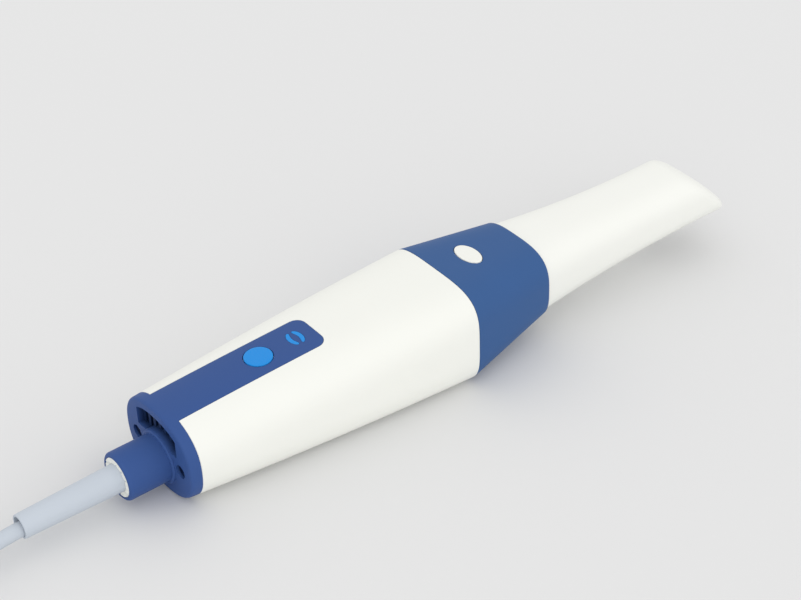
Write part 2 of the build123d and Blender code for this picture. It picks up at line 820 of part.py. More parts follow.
# Cable: out of the sleeve, down to the floor and into a hank that a tie holds, with the plug lying on top
turn_step = hank_pitch * cable_diameter
hank_width = hank_columns * turn_step
hank_height = hank_layers * cable_diameter
hank_floor = tie_thickness + seat_clearance
outer_turn = fold_radius + (hank_columns - 1) / 2 * turn_step
cable_rise = boss_rise - (relief_mouth_diameter - cable_diameter) / 2 + bearing_clearance
cable_start = at_rest(relief_end + relief_mouth_depth, 0, cable_rise)
mouth = at_rest(relief_end, 0, boss_rise)
first_turn_height = hank_floor + cable_diameter / 2
front_fold_x = mouth.X - hank_gap - fold_radius - hank_width / 2
hank_x = front_fold_x - hank_run / 2
hank_y = outer_turn - hank_side
cable_route = [
    cable_start,
    at_rest(relief_end - cable_first_run, 0, cable_rise),
    Vector(mouth.X - cable_swing_distance, -cable_swing, first_turn_height + cable_touch_rise),
    Vector(mouth.X - cable_touch_distance, -hank_side, first_turn_height),
    Vector(front_fold_x - cable_diameter, -hank_side, first_turn_height),
]


def cord_radii(points):
    """Bend radius at each inner point: a share of the shorter run over the tangent of half the turn."""
    radii = []
    for before, here, after in zip(points, points[1:], points[2:]):
        arriving = here - before
        leaving = after - here
        half_turn = math.radians(arriving.get_angle(leaving)) / 2
        radii.append(bend_share * min(arriving.length, leaving.length) / math.tan(half_turn))
    return radii


def cord(points):
    """Round cord along straight runs joined by tangent arcs."""
    radii = cord_radii(points)
    print("bend radii", [round(value, 1) for value in radii])
    path = FilletPolyline(*points, radius=radii)
    tube = sweep(Plane(path @ 0, z_dir=path % 0) * Circle(cable_diameter / 2), path)
    section = math.pi * cable_diameter**2 / 4
    print("tube volume", round(tube.volume, 1), "section by length", round(path.length * section, 1))
    return tube


hank_plan = SlotCenterToCenter(hank_run, 2 * fold_radius + hank_width)
hank_plan -= SlotCenterToCenter(hank_run, 2 * fold_radius - hank_width)
hank = Pos(hank_x, hank_y, hank_floor) * extrude(hank_plan, hank_height)
hank = fillet(hank.faces().filter_by(Axis.Z).edges(), cable_diameter / 2)
parts["cable_hank"] = hank
parts["cable_run"] = cord(cable_route)

tie_inner = RectangleRounded(
    hank_width + 2 * seat_clearance, hank_height + 2 * seat_clearance, cable_diameter / 2
)
tie_outer = RectangleRounded(
    hank_width + 2 * hank_floor, hank_height + 2 * hank_floor, cable_diameter / 2 + tie_thickness
)
tie_origin = (hank_x - tie_width / 2, hank_y - fold_radius, hank_floor + hank_height / 2)
tie_plane = Plane(origin=tie_origin, x_dir=(0, 1, 0), z_dir=(1, 0, 0))
parts["cable_tie"] = extrude(tie_plane * (tie_outer - tie_inner), tie_width)

plug_floor = hank_floor + hank_height
plug_middle = plug_floor + plug_height / 2
top_turn = plug_floor - cable_diameter / 2
rear_fold_x = hank_x - hank_run / 2
half_step = math.radians(tail_step / 2)
tail_reach = fold_radius / math.cos(half_step)
tail_points = []
for i, share in ((5, 0.0), (3, 0.45), (1, 1.0)):
    angle = math.pi / 2 + i * half_step
    height = top_turn + share * (plug_middle - top_turn)
    x = rear_fold_x + tail_reach * math.cos(angle)
    y = hank_y + tail_reach * math.sin(angle)
    tail_points.append(Vector(x, y, height))
grip_start = rear_fold_x + fold_radius * math.tan(half_step)
plug_y = hank_y + fold_radius
tail_points.append(Vector(grip_start, plug_y, plug_middle))
parts["cable_tail"] = cord(tail_points) - hank

# Plug: moulded grip, folded steel shell and the contact tongue inside it
shell_start = grip_start + plug_length
grip = Pos(grip_start + plug_length / 2, plug_y, plug_middle) * Box(plug_length, plug_width, plug_height)
grip = fillet(grip.edges().filter_by(Axis.X), plug_corner)
grip = fillet(grip.faces().sort_by(Axis.X)[0].edges(), plug_edge)
parts["plug_body"] = grip
shell_place = Pos(shell_start + plug_shell_length / 2, plug_y, plug_middle)
sheath = Box(plug_shell_length, plug_shell_width, plug_shell_height)
inside_width = plug_shell_width - 2 * plug_sheet
sheath -= Box(plug_shell_length + overcut, inside_width, plug_shell_height - 2 * plug_sheet)
for side in (-1, 1):
    sheath -= Pos(plug_window_x, side * plug_window_y, 0) * Box(plug_window, plug_window, reach)
parts["plug_shell"] = shell_place * sheath
tongue_height = plug_shell_height / 2 - plug_sheet
contact = Box(plug_shell_length - plug_sheet, inside_width - 2 * seat_clearance, tongue_height)
parts["plug_tongue"] = shell_place * Pos(-plug_sheet / 2, 0, tongue_height / 2) * contact

os.makedirs("parts", exist_ok=True)
for name, shape in parts.items():
    export_step(shape, f"parts/{name}.step")
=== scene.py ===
import json
import math

import bmesh
import bpy
from mathutils import Matrix, Vector


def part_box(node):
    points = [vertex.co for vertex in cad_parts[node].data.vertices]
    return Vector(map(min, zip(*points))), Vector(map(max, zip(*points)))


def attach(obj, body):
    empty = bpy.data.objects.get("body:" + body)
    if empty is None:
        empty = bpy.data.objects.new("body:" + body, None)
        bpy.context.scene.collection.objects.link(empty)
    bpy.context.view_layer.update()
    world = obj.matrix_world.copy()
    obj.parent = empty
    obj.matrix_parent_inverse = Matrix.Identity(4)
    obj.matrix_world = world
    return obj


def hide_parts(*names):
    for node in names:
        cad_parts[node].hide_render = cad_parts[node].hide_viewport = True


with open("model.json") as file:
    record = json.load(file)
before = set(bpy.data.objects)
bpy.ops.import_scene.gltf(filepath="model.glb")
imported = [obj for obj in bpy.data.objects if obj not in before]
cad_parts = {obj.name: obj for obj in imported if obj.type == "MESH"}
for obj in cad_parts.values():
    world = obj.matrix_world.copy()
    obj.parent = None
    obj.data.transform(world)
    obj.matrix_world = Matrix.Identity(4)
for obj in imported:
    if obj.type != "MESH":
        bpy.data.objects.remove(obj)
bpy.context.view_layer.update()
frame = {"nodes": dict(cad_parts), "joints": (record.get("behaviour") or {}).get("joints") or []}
nodes = frame["nodes"]


# Handle shell
# The white body that the hand holds: one injection-moulded shell of satin plastic, oval at the rear and squarer
# towards the front. A shallow bed along its top takes the rear cap's tongue, and its belly has a flat to lie on.
# Sizes are millimetres along the scanner's own axis, from its rear face; laid puts them into the frame.
joints = {joint["name"]: joint for joint in frame["joints"]}
blower_place = Vector((17.0, 0.0, 4.0))
along = Vector(joints["tip_pull"]["axis"])
laid = Matrix.Rotation(-math.atan2(along.z, along.x), 4, "Y") @ Matrix.Scale(0.001, 4)
laid = Matrix.Translation(Vector(joints["rotor_spin"]["pos_m"]) - laid @ blower_place) @ laid
around = 192
seam = 0.1
handle_length = 97.6
handle_stations = (0.0, handle_length / 2, handle_length)
handle_widths = (33.2, 38.6, 41.5)
handle_heights = (27.0, 30.9, 33.1)
handle_rises = (0.5, -0.3, -1.0)
handle_squareness = (2.35, 3.0, 3.8)
shell_wall = 2.4
shell_edge = 0.25
flange_thickness = 3.4
strip_width = 14.4
strip_end = 53.5
strip_corner = 3.2
strip_depth = 1.3


def parabola(x, stations, values):
    """Value at x of the parabola through three stations."""
    total = 0.0
    for i in range(3):
        weight = 1.0
        for j in range(3):
            if j != i:
                weight *= (x - stations[j]) / (stations[i] - stations[j])
        total += weight * values[i]
    return total


def oval(x, width, height, rise, squareness):
    """Section square to the axis: a function from the turn round the axis to a point."""
    def point(turn):
        across = math.cos(turn)
        up = math.sin(turn)
        reach = (abs(across) ** squareness + abs(up) ** squareness) ** (-1 / squareness)
        return Vector((x, width / 2 * across * reach, rise + height / 2 * up * reach))
    return point


def handle_values(x):
    return [parabola(x, handle_stations, v)
            for v in (handle_widths, handle_heights, handle_rises, handle_squareness)]


def handle_section(x, inset=0.0):
    width, height, rise, squareness = handle_values(x)
    return oval(x, width - 2 * inset, height - 2 * inset, rise, squareness)


def spaced(start, end, step):
    """Stations from start to end, about a step apart."""
    count = max(1, round(abs(end - start) / step))
    return [start + (end - start) * i / count for i in range(count + 1)]


def rounded(section, face, inward, radius, steps=5):
    """Sections of a rounded edge, from the side wall to an end face; inward is the wall's way along the axis."""
    made = []
    for i in range(steps + 1):
        angle = math.pi / 2 * i / steps
        x = face + inward * radius * (1 - math.sin(angle))
        made.append(section(x, radius * (1 - math.cos(angle))))
    return made


def skin(mesh, sections):
    """Tube through closed sections; gives the edges of each ring."""
    turn_of = mesh.verts.layers.float.get("turn") or mesh.verts.layers.float.new("turn")
    ring = set(bmesh.ops.create_circle(mesh, segments=around, radius=1.0)["verts"])
    edges = list({edge for vert in ring for edge in vert.link_edges})
    for vert in ring:
        vert[turn_of] = math.atan2(vert.co.y, vert.co.x)
    rings = []
    for section in sections:
        if rings:
            made = bmesh.ops.extrude_edge_only(mesh, edges=edges)["geom"]
            ring = {item for item in made if isinstance(item, bmesh.types.BMVert)}
            edges = [item for item in made
                     if isinstance(item, bmesh.types.BMEdge) and ring.issuperset(item.verts)]
        for vert in ring:
            vert.co = section(vert[turn_of])
        rings.append(edges)
    return rings


def closed(sections):
    """Solid through sections with a flat face at each end."""
    mesh = bmesh.new()
    rings = skin(mesh, sections)
    for edges in (rings[0], rings[-1]):
        bmesh.ops.contextual_create(mesh, geom=edges)
    return mesh


def hollow(sections):
    """Solid of a wall: its sections run out along one face and back along the other, and then close."""
    mesh = bmesh.new()
    rings = skin(mesh, sections)
    bmesh.ops.bridge_loops(mesh, edges=rings[0] + rings[-1])
    return mesh


def solid(name, mesh):
    """Object made of a finished mesh."""
    bmesh.ops.recalc_face_normals(mesh, faces=mesh.faces)
    data = bpy.data.meshes.new(name)
    mesh.to_mesh(data)
    mesh.free()
    piece = bpy.data.objects.new(name, data)
    bpy.context.scene.collection.objects.link(piece)
    return piece


def combine(piece, tool, how):
    """Cuts a piece with a tool, joins the two or keeps what they share; the tool is used up."""
    modifier = piece.modifiers.new(how, "BOOLEAN")
    modifier.operation = how
    modifier.solver = "EXACT"
    modifier.object = tool
    bpy.context.view_layer.update()
    shaped = piece.evaluated_get(bpy.context.evaluated_depsgraph_get())
    data = bpy.data.meshes.new_from_object(shaped)
    piece.modifiers.clear()
    piece.data = data
    bpy.data.objects.remove(tool)
    return piece


def fit(piece, body, slot, material, *stands_for, crease=35.0, flat_belly=False):
    """Lays a piece in the frame, smooths it up to its creases, paints it and fixes it to its body."""
    piece.data.transform(laid)
    if flat_belly:
        for vert in piece.data.vertices:
            vert.co.z = max(vert.co.z, 0.0)
    piece.data.materials.clear()
    piece.data.materials.append(material)
    piece.data.shade_smooth()
    piece.data.set_sharp_from_angle(angle=math.radians(crease))
    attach(piece, body)
    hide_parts(*stands_for)
    return piece


def noise(tree, scale, detail=2.0):
    """Noise in the piece's own coordinates, in features per metre."""
    place = tree.nodes.new("ShaderNodeTexCoord")
    texture = tree.nodes.new("ShaderNodeTexNoise")
    texture.inputs["Scale"].default_value = scale
    texture.inputs["Detail"].default_value = detail
    tree.links.new(place.outputs["Object"], texture.inputs["Vector"])
    return texture.outputs["Fac"]


def between(tree, factor, low, high):
    """Spreads a noise over a range of values."""
    spread = tree.nodes.new("ShaderNodeMapRange")
    spread.inputs["From Min"].default_value = 0.3
    spread.inputs["From Max"].default_value = 0.7
    spread.inputs["To Min"].default_value = low
    spread.inputs["To Max"].default_value = high
    tree.links.new(factor, spread.inputs["Value"])
    return spread.outputs["Result"]


def moulded(name, colour, roughness, drift=0.02, grain=3500.0, relief=0.00001, specular=0.25):
    """Moulded plastic or rubber: a fine etched grain, and a faint drift of colour and gloss over the surface."""
    material = bpy.data.materials.new(name)
    material.use_nodes = True
    tree = material.node_tree
    shader = tree.nodes["Principled BSDF"]
    cloud = noise(tree, 60.0)
    shade = tree.nodes.new("ShaderNodeMix")
    shade.data_type = "RGBA"
    shade.inputs["A"].default_value = [value * (1 - drift) for value in colour] + [1.0]
    shade.inputs["B"].default_value = list(colour) + [1.0]
    shader.inputs["Specular IOR Level"].default_value = specular
    tree.links.new(cloud, shade.inputs["Factor"])
    tree.links.new(shade.outputs["Result"], shader.inputs["Base Color"])
    tree.links.new(between(tree, cloud, roughness - 0.03, roughness + 0.03), shader.inputs["Roughness"])
    etched = tree.nodes.new("ShaderNodeBump")
    etched.inputs["Distance"].default_value = relief
    etched.inputs["Strength"].default_value = 0.5
    tree.links.new(noise(tree, grain, 3.0), etched.inputs["Height"])
    tree.links.new(etched.outputs["Normal"], shader.inputs["Normal"])
    return material


def strip_prism(margin):
    """Upright prism of the tongue's outline, grown by a margin, with its two front corners rounded."""
    mesh = bmesh.new()
    half = strip_width / 2 + margin
    outline = ((0.0, -half), (strip_end + margin, -half), (strip_end + margin, half), (0.0, half))
    face = mesh.faces.new([mesh.verts.new((x, y, 0.0)) for x, y in outline])
    front = [vert for vert in face.verts if vert.co.x > 0]
    bmesh.ops.bevel(mesh, geom=front, offset=strip_corner + margin, offset_type="OFFSET", affect="VERTICES",
                    segments=10, profile=0.5, material=-1)
    raised = bmesh.ops.extrude_face_region(mesh, geom=mesh.faces[:])["geom"]
    tops = [item for item in raised if isinstance(item, bmesh.types.BMVert)]
    bmesh.ops.translate(mesh, verts=tops, vec=(0.0, 0.0, max(handle_heights)))
    return mesh


shell_start = flange_thickness + seam / 2
shell_end = handle_length - seam / 2
outside = [handle_section(x) for x in spaced(shell_start + 2 * shell_edge, shell_end - 2 * shell_edge, 2.4)]
inside = [handle_section(x, shell_wall) for x in spaced(shell_end, shell_start, 4.0)]
handle = solid("handle_shell_moulding", hollow(
    rounded(handle_section, shell_start, 1, shell_edge)[::-1] + outside
    + rounded(handle_section, shell_end, -1, shell_edge) + inside
))
above = 2.0
bed_stations = spaced(flange_thickness - above, strip_end + strip_corner, 2.4)
bed = solid("strip_bed", hollow(
    [handle_section(x, -above) for x in bed_stations]
    + [handle_section(x, strip_depth + seam) for x in reversed(bed_stations)]
))
combine(bed, solid("strip_outline", strip_prism(seam)), "INTERSECT")
combine(handle, bed, "DIFFERENCE")
white_plastic = moulded("white satin plastic", (0.88, 0.885, 0.835), 0.45)
fit(handle, "handpiece", "white_plastic", white_plastic, "handle_shell", flat_belly=True)


# Rear cap
# The blue end of the handle: a flange, a boss for the cable and a tongue that lies flush in the top of the handle,
# moulded in one. A crescent vent with ribs lets air in above the boss, and two screws sit in round seats.
flange_edge = 0.9
boss_diameter = 14.6
boss_length = 13.7
boss_rise = -2.4
boss_edge = 1.1
foot_diameter = 16.4
foot_height = 0.7
gland_diameter = 12.0
gland_depth = 5.6
vent_border = 2.6
vent_width = 19.6
vent_floor = 3.4
vent_depth = 2.0
vent_count = 7
vent_pitch = 2.65
vent_slot = 1.5
screw_spacing = 22.0
screw_rise = -0.6
screw_seat = 4.2
screw_seat_depth = 2.4
mode_button_x = 34.6
mode_button_diameter = 8.4
key_gap = 0.25
status_light_x = 47.3
status_light_width = 6.2
status_light_length = 1.3
light_spread = 3.4
light_bow = 4.5
light_fullness = 2.8


def disc(x, diameter, y=0.0, z=boss_rise):
    """Round section square to the axis."""
    ring = oval(x, diameter, diameter, z, 2)
    return lambda turn: ring(turn) + Vector((0.0, y, 0.0))


def blended(first, second, share):
    """Section part of the way from one to another."""
    return lambda turn: first(turn).lerp(second(turn), share)


def bevelled(mesh, edges, radius, segments=5):
    bmesh.ops.bevel(mesh, geom=edges, offset=radius, offset_type="OFFSET", affect="EDGES", segments=segments,
                    profile=0.5, material=-1)


def upright(x, outline, low, high, y=0.0):
    """Upright solid of an outline, which is a function from a turn to a point of the plan."""
    def level(z):
        return lambda turn: Vector((x, y, z)) + outline(turn)
    return closed([level(low), level(high)])


def round_plan(diameter):
    return lambda turn: Vector((math.cos(turn), math.sin(turn), 0.0)) * diameter / 2


def bow_plan(side, width, length):
    """Plan of a bar across the axis, bent to an arc: -1 is the rear one of the pair and 1 the front one."""
    def point(turn):
        across, along = (math.copysign(abs(part) ** (2 / light_fullness), part)
                         for part in (math.cos(turn), math.sin(turn)))
        angle = along * width / 2 / light_bow
        reach = light_bow + across * length / 2
        bent = Vector((light_spread / 2 - light_bow + reach * math.cos(angle), reach * math.sin(angle), 0.0))
        return bent * side
    return point


def slab(x0, x1, y0, y1, z0, z1):
    mesh = bmesh.new()
    bmesh.ops.create_cube(mesh, size=1.0)
    bmesh.ops.scale(mesh, verts=mesh.verts, vec=(x1 - x0, y1 - y0, z1 - z0))
    bmesh.ops.translate(mesh, verts=mesh.verts, vec=((x0 + x1) / 2, (y0 + y1) / 2, (z0 + z1) / 2))
    return mesh


face_rim = handle_section(0.0, flange_edge)
face_foot = disc(0.0, foot_diameter)
sections = [handle_section(flange_thickness), handle_section((flange_thickness + flange_edge) / 2)]
sections += rounded(handle_section, 0.0, 1, flange_edge)
sections += [blended(face_rim, face_foot, share) for share in (0.3, 0.6)]
first_turned = len(sections)
sections += [
    face_foot,
    disc(-foot_height, foot_diameter),
    disc(-foot_height, boss_diameter),
    disc(-boss_length, boss_diameter),
    disc(-boss_length, gland_diameter),
    disc(gland_depth - boss_length, gland_diameter),
]
mesh = bmesh.new()
rings = skin(mesh, sections)
for edges in (rings[0], rings[-1]):
    bmesh.ops.contextual_create(mesh, geom=edges)
foot_ring, boss_ring, mouth_ring = rings[first_turned + 1], rings[first_turned + 3], rings[first_turned + 4]
bevelled(mesh, boss_ring, boss_edge, 8)
bevelled(mesh, foot_ring, foot_height * 0.8)
bevelled(mesh, mouth_ring, 0.2, 3)
cap = solid("rear_cap_moulding", mesh)

tongue_stations = spaced(flange_thickness, strip_end + strip_corner, 2.4)
tongue = solid("tongue", hollow(
    [handle_section(x) for x in tongue_stations]
    + [handle_section(x, strip_depth) for x in reversed(tongue_stations)]
))
combine(tongue, solid("tongue_outline", strip_prism(0.0)), "INTERSECT")
combine(cap, tongue, "UNION")

vent_mouth = 3.0
vent_margin = 0.06


def vent_block(depth, margin, left, right):
    """Crescent between the rim of the flange and the boss, cut to a depth between two sides."""
    outline = handle_section(0.0, vent_border + margin)

    def moved(x):
        return lambda turn: outline(turn) + Vector((x, 0.0, 0.0))
    ends = (-2 * vent_mouth, 2 * vent_mouth + depth)
    block = solid("vent_block", closed([moved(-vent_mouth), moved(depth)]))
    upper = slab(*ends, left, right, vent_floor + margin, handle_heights[0])
    combine(block, solid("vent_upper", upper), "INTERSECT")
    inner = foot_diameter + 4 * seam + 2 * margin
    combine(block, solid("vent_round", closed([disc(x, inner) for x in ends])), "DIFFERENCE")
    return block


combine(cap, vent_block(vent_depth, 0.0, -vent_width / 2, vent_width / 2), "DIFFERENCE")
for i in range(vent_count):
    y = (i - (vent_count - 1) / 2) * vent_pitch
    slot = vent_block(flange_thickness + vent_mouth, vent_margin, y - vent_slot / 2, y + vent_slot / 2)
    combine(cap, slot, "DIFFERENCE")
for side in (-1, 1):
    y = side * screw_spacing / 2
    seat = closed([disc(x, screw_seat, y, screw_rise) for x in (-vent_mouth, screw_seat_depth)])
    combine(cap, solid("screw_seat", seat), "DIFFERENCE")
key_hole = upright(mode_button_x, round_plan(mode_button_diameter + 2 * key_gap), 0.0, handle_heights[2])
combine(cap, solid("key_hole", key_hole), "DIFFERENCE")
for side in (-1, 1):
    light_plan = bow_plan(side, status_light_width + 2 * seam, status_light_length + 2 * seam)
    light_hole = upright(status_light_x, light_plan, 0.0, handle_heights[2])
    combine(cap, solid("light_hole", light_hole), "DIFFERENCE")
blue_plastic = moulded("blue satin plastic", (0.042, 0.095, 0.286), 0.48, drift=0.06, specular=0.12)
# Depths behind the flange's face over which the painted shade in the vent and screw seats grows from none to full.
painted_shade_depths = (0.2, 2.6)


def painted_recess_shade(material, colour, strength):
    """Paints shade into a plastic's colour below the face of the flange, within its rim: the vent and the screw seats
    turn darker the deeper they lie.
    """
    tree = material.node_tree
    base = tree.nodes["Principled BSDF"].inputs["Base Color"]
    place = tree.nodes.new("ShaderNodeTexCoord")
    axis = tree.nodes.new("ShaderNodeMapping")
    where, turn, size = laid.inverted().decompose()
    axis.inputs["Location"].default_value = where
    axis.inputs["Rotation"].default_value = turn.to_euler()
    axis.inputs["Scale"].default_value = size
    tree.links.new(place.outputs["Object"], axis.inputs["Vector"])
    parts = tree.nodes.new("ShaderNodeSeparateXYZ")
    tree.links.new(axis.outputs["Vector"], parts.inputs["Vector"])
    depth = tree.nodes.new("ShaderNodeMapRange")
    for name, value in zip(("From Min", "From Max", "To Min", "To Max"), painted_shade_depths + (0.0, strength)):
        depth.inputs[name].default_value = value
    tree.links.new(parts.outputs["X"], depth.inputs["Value"])
    across = tree.nodes.new("ShaderNodeVectorMath")
    across.operation = "MULTIPLY"
    across.inputs[1].default_value = (0.0, 2 / (handle_widths[0] - vent_border), 2 / (handle_heights[0] - vent_border))
    tree.links.new(axis.outputs["Vector"], across.inputs[0])
    reach = tree.nodes.new("ShaderNodeVectorMath")
    reach.operation = "LENGTH"
    tree.links.new(across.outputs["Vector"], reach.inputs[0])
    inside = tree.nodes.new("ShaderNodeMath")
    inside.operation = "LESS_THAN"
    inside.inputs[1].default_value = 1.0
    tree.links.new(reach.outputs["Value"], inside.inputs[0])
    share = tree.nodes.new("ShaderNodeMath")
    share.operation = "MULTIPLY"
    tree.links.new(depth.outputs["Result"], share.inputs[0])
    tree.links.new(inside.outputs["Value"], share.inputs[1])
    # Painted shade: a near-black blue mixed into the colour inside the rim, more the deeper the surface lies.
    painted_shade_mix = tree.nodes.new("ShaderNodeMix")
    painted_shade_mix.data_type = "RGBA"
    painted_shade_mix.inputs["B"].default_value = colour + (1.0,)
    tree.links.new(share.outputs["Value"], painted_shade_mix.inputs["Factor"])
    tree.links.new(base.links[0].from_socket, painted_shade_mix.inputs["A"])
    tree.links.new(painted_shade_mix.outputs["Result"], base)


# Painted shade: the vent and the screw seats of the blue plastic are darkened in its colour, deeper is darker.
painted_recess_shade(blue_plastic, (0.002, 0.006, 0.022), 0.95)
fit(cap, "handpiece", "blue_plastic", blue_plastic, "rear_cap", flat_belly=True)


# Rear cap screws
# Two socket screws of blue lacquered steel, turned and tapped into the handle's pillars, their heads deep in the seats.


def metal(name, colour, roughness, scratch=500.0):
    """Machined metal: fine turned marks in its gloss and its relief."""
    material = bpy.data.materials.new(name)
    material.use_nodes = True
    tree = material.node_tree
    shader = tree.nodes["Principled BSDF"]
    shader.inputs["Base Color"].default_value = list(colour) + [1.0]
    shader.inputs["Metallic"].default_value = 1.0
    marks = noise(tree, scratch, 4.0)
    tree.links.new(between(tree, marks, roughness - 0.08, roughness + 0.08), shader.inputs["Roughness"])
    relief = tree.nodes.new("ShaderNodeBump")
    relief.inputs["Distance"].default_value = 0.000005
    tree.links.new(noise(tree, 4 * scratch, 2.0), relief.inputs["Height"])
    tree.links.new(relief.outputs["Normal"], shader.inputs["Normal"])
    return material


def paint(material, *names):
    """Gives CAD pieces that keep their own shape a finish."""
    for name in names:
        nodes[name].data.materials.clear()
        nodes[name].data.materials.append(material)


paint(metal("blue lacquered steel", (0.012, 0.03, 0.10), 0.5), "rear_cap_screws")


# Mode button
# A light blue key in the tongue, moulded as a round cap on a rim that stays under the tongue.
# It stands a little proud of the tongue and is pressed onto a switch below.
key_proud = 0.25
mode_foot = 11.2


def handle_top(x, y, lift=0.0):
    """Height of the handle's top over a place of the plan."""
    width, height, rise, squareness = handle_values(x)
    share = abs(y) / (width / 2 + lift)
    return rise + (height / 2 + lift) * (1 - share ** squareness) ** (1 / squareness)


def key_sections(place, plan, low, edge):
    """Sections of a key from its foot up its side, round its edge and over its top to a small ring."""
    def level(depth):
        return lambda turn: place(plan(turn), None, depth)
    made = [level(low)]
    for i in range(6):
        angle = math.pi / 2 * i / 5
        made.append((lambda shrink, drop: lambda turn: place(plan(turn) * shrink, drop, None))(
            1 - edge * (1 - math.cos(angle)) / (plan(0.0).length), edge * (1 - math.sin(angle))))
    for share in (0.75, 0.5, 0.25, 0.05):
        made.append((lambda shrink: lambda turn: place(plan(turn) * shrink, 0.0, None))(share))
    return made


def mode_place(offset, drop, height):
    """Point of the mode key: at a height, or at a drop below its proud top."""
    x = mode_button_x + offset.x
    z = height if drop is None else handle_top(x, offset.y, key_proud) - drop
    return Vector((x, offset.y, z))


mode_button = solid("mode_button_cap", closed(key_sections(
    mode_place, round_plan(mode_button_diameter), mode_foot, key_proud)))
bright_blue = moulded("bright blue plastic", (0.012, 0.268, 0.740), 0.45, drift=0.03)
fit(mode_button, "mode_key", "bright_blue_plastic", bright_blue, "mode_button")


# Status light
# A light guide of the same bright blue that shows as two bowed bars, pressed into the tongue ahead of the key and
# flush with it.
light_foot = 10.6


def light_bar(side):
    """One bar of the light guide, up to the top of the tongue."""
    plan = bow_plan(side, status_light_width, status_light_length)

    def foot(turn):
        return Vector((status_light_x, 0.0, light_foot)) + plan(turn)

    def top(turn):
        place = Vector((status_light_x, 0.0, 0.0)) + plan(turn)
        return Vector((place.x, place.y, handle_top(place.x, place.y)))
    return solid("status_light_guide", closed([foot, top]))


status_light = light_bar(-1)
combine(status_light, light_bar(1), "UNION")
fit(status_light, "handpiece", "bright_blue_plastic", bright_blue, "status_light")


# Gland ring
# A white moulded ring that locks the sleeve in the mouth of the boss, with notches in its face for a key.
gland_recess = 0.1
gland_notches = 10
notch_depth = 0.4
notch_share = 0.15
relief_diameter = 8.4
ring_clearance = 0.05


def notched(x, diameter):
    """Round section whose points step in along the axis at each notch."""
    ring = disc(x, diameter)

    def point(turn):
        phase = abs((turn / (2 * math.pi) * gland_notches) % 1.0 - 0.5)
        return ring(turn) + Vector((max(0.0, notch_depth * (1 - phase / notch_share)), 0.0, 0.0))
    return point


ring_face = gland_recess - boss_length
ring_foot = gland_depth - boss_length
ring_outer = gland_diameter - 2 * ring_clearance
ring_bore = relief_diameter + 2 * ring_clearance
gland = solid("gland_ring_moulding", hollow([
    disc(ring_foot, ring_outer),
    notched(ring_face, ring_outer),
    notched(ring_face, ring_bore),
    disc(ring_foot, ring_bore),
]))
fit(gland, "handpiece", "white_plastic", white_plastic, "gland_ring", crease=25.0)


# Strain relief
# A grey rubber sleeve that tapers over the cable, moulded open at its outer end and held by the gland ring.
relief_end_diameter = 7.2
relief_length = 30.2
relief_root = 4.0
relief_mouth_diameter = 5.8
relief_mouth_depth = 10.0
relief_edge = 0.3
relief_end = -boss_length - relief_length
mouth_floor = relief_end + relief_mouth_depth
mesh = bmesh.new()
rings = skin(mesh, [
    disc(relief_root - boss_length, relief_diameter),
    disc(-boss_length, relief_diameter),
    disc(relief_end, relief_end_diameter),
    disc(relief_end, relief_mouth_diameter),
    disc(mouth_floor, relief_mouth_diameter),
])
for edges in (rings[0], rings[-1]):
    bmesh.ops.contextual_create(mesh, geom=edges)
bevelled(mesh, rings[2], relief_edge)
bevelled(mesh, rings[3], relief_edge / 2, 3)
relief = solid("strain_relief_sleeve", mesh)
grey_rubber = moulded("grey cable rubber", (0.550, 0.600, 0.665), 0.45, drift=0.03, grain=2500.0)
fit(relief, "handpiece", "grey_rubber", grey_rubber, "strain_relief")


# Cable
# A round cable in soft grey sheathing, two metres long. It runs out of the sleeve and down to the floor, and its
# spare length lies folded in a tied hank of three columns and four layers, its end rising over the turns to the plug.
cable_diameter = 4.4
cable_first_run = 16.0
cable_swing_distance = 33.0
cable_swing = 8.0
cable_touch_distance = 48.0
cable_touch_rise = 1.4
hank_columns = 3
hank_pitch = 1.03
whole_turns = 11
fold_steps = 6
hank_low, hank_high = (Vector(corner) * 1000 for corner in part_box("cable_hank"))
plug_low, plug_high = (Vector(corner) * 1000 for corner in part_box("plug_body"))
hank_middle = (hank_low + hank_high) / 2
turn_step = hank_pitch * cable_diameter
outer_turn = (hank_high.y - hank_low.y - turn_step) / 2
hank_run = (hank_high.x - hank_low.x) - (hank_high.y - hank_low.y)
mean_fold = math.pi * (outer_turn - (hank_columns - 1) / 2 * turn_step)
turn_length = 2 * (hank_run + mean_fold)
first_height = hank_low.z + cable_diameter / 2
near_side = hank_middle.y - outer_turn
cable_rise = boss_rise - (relief_mouth_diameter - cable_diameter) / 2 + ring_clearance
mouth = laid @ Vector((relief_end, 0.0, cable_rise)) * 1000
route = [
    laid @ Vector((mouth_floor, 0.0, cable_rise)) * 1000,
    laid @ Vector((relief_end - cable_first_run, 0.0, cable_rise)) * 1000,
    Vector((mouth.x - cable_swing_distance, -cable_swing, first_height + cable_touch_rise)),
    Vector((mouth.x - cable_touch_distance, near_side, first_height)),
    Vector((hank_middle.x + hank_run / 2 - cable_diameter, near_side, first_height)),
]


def eased(share):
    share = min(1.0, max(0.0, share))
    return share * share * (3 - 2 * share)


def wound(turns):
    """Radius and height of the cable after some turns: it winds in and out by a step a turn, and climbs between."""
    columns_in = hank_columns - 0.5 - abs((turns + 0.5) % (2 * hank_columns) - hank_columns)
    layer = 0.0
    for k in range(4):
        reversal = hank_columns * (k + 1) - 0.5
        layer += eased((turns - reversal) / 0.6 + 0.5)
    return outer_turn - turn_step * columns_in, first_height + layer * cable_diameter


def fold_point(side, step, radius, height):
    """Corner of the polygon round a fold: side is -1 at the rear fold and 1 at the front one."""
    angle = -math.pi * (step + 0.5) / fold_steps - side * math.pi / 2 - math.pi
    reach = radius / math.cos(math.pi / 2 / fold_steps)
    centre = hank_middle.x + side * hank_run / 2
    return Vector((centre + reach * math.cos(angle), hank_middle.y + reach * math.sin(angle), height))


